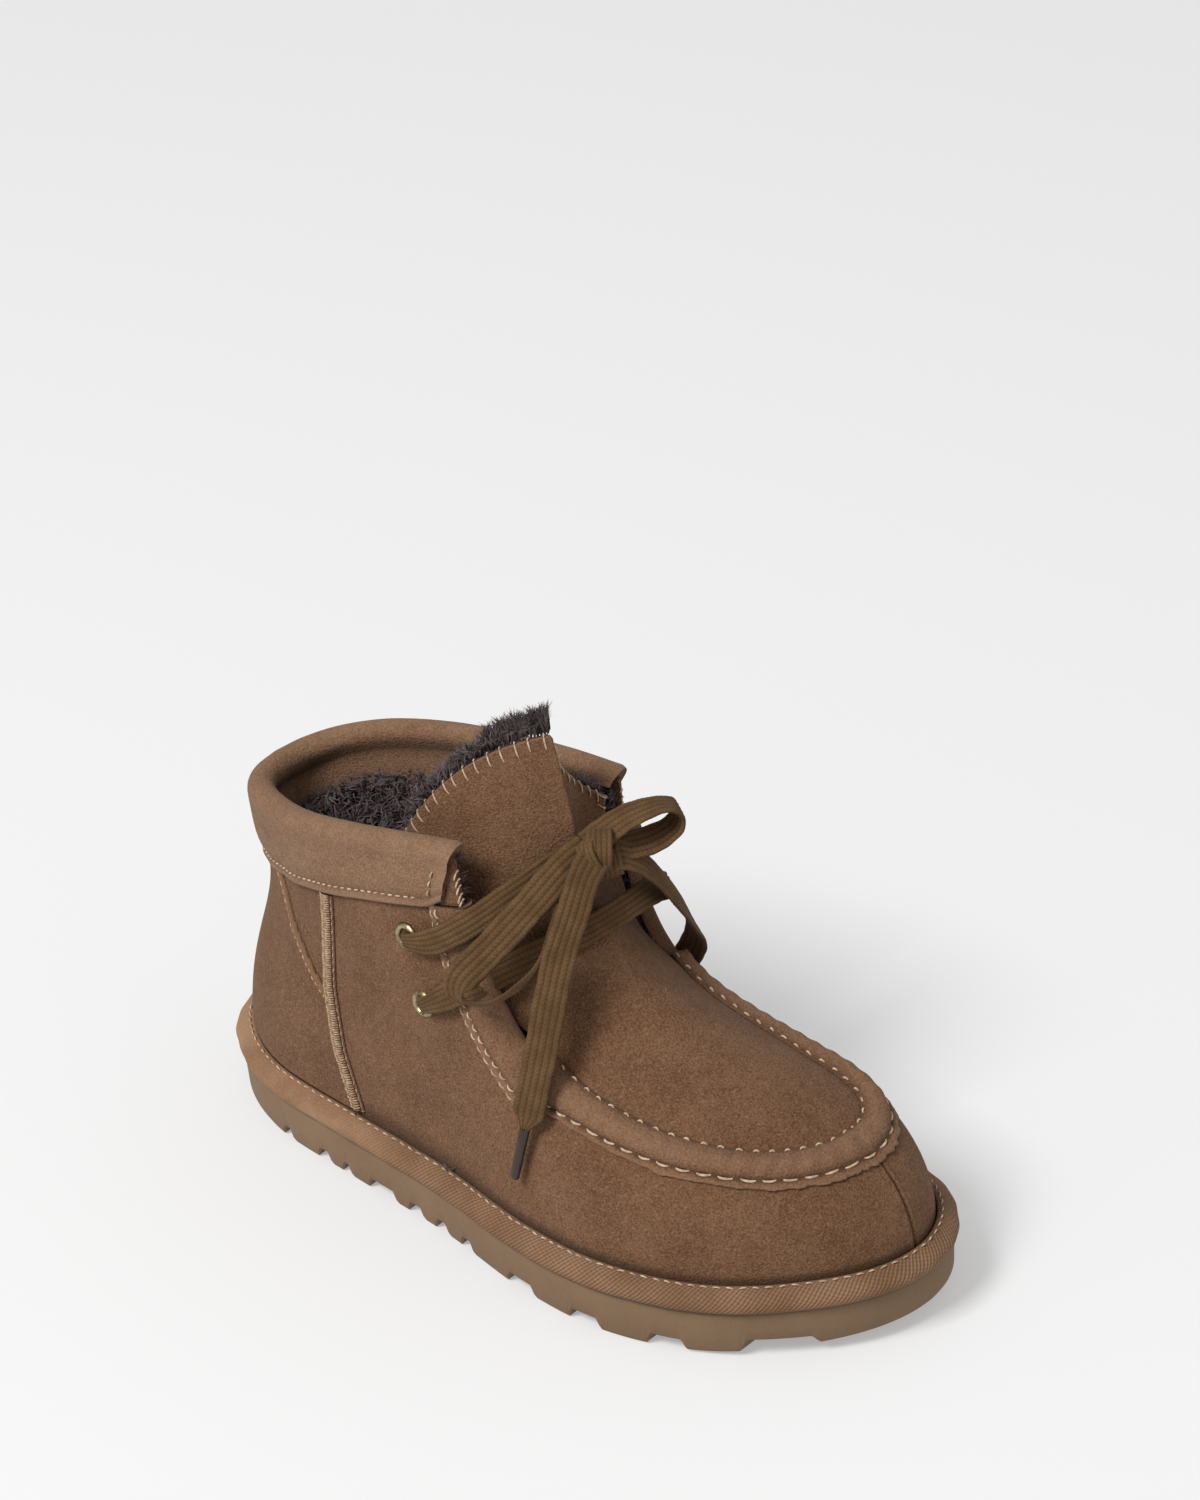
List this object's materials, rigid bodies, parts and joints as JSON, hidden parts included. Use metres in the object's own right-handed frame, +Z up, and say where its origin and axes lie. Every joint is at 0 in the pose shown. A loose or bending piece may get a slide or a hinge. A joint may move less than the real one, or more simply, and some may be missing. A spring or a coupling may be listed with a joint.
{
  "type": "ankle boot",
  "caption": "Low suede ankle boot for the right foot with a raised apron seam, rolled collar cuff, fleece lining, laced bow and flat lugged rubber outsole.",
  "frame": {"origin": "on the floor under the middle of the rand's outline", "axes": "+Z up; the toe points to -Y and the heel to +Y; the outer (little toe) side is -X"},
  "size_m": [0.1088, 0.276, 0.165],
  "materials": {
    "suede": "matt mid-brown suede with a short nap",
    "suede_trim": "matt suede, a shade lighter than the upper",
    "outsole_rubber": "matt olive-tan foamed rubber",
    "lining": "dark brown fleece pile",
    "antique_brass": "satin antique brass",
    "lace_braid": "matt flat braided cotton",
    "aglet_plastic": "dark brown film tip"
  },
  "bodies": {
    "root": {"outsole": "outsole_rubber", "rand": "suede_trim", "insole": "lining", "upper": "suede", "tongue": "suede", "cuff": "suede_trim", "apron_roll": "suede_trim", "heel_counter": "suede", "side_seam_lateral": "suede_trim", "side_seam_medial": "suede_trim", "eyelet_lower_lateral": "antique_brass", "eyelet_upper_lateral": "antique_brass", "eyelet_lower_medial": "antique_brass", "eyelet_upper_medial": "antique_brass", "lace_lower_bar": "lace_braid", "lace_upper_run_lateral": "lace_braid", "lace_upper_run_medial": "lace_braid", "lace_knot": "lace_braid", "bow_loop_lateral": "lace_braid", "bow_loop_medial": "lace_braid", "lace_end_lateral": "lace_braid", "lace_end_medial": "lace_braid", "aglet_lateral": "aglet_plastic", "aglet_medial": "aglet_plastic"}
  },
  "joints": []
}
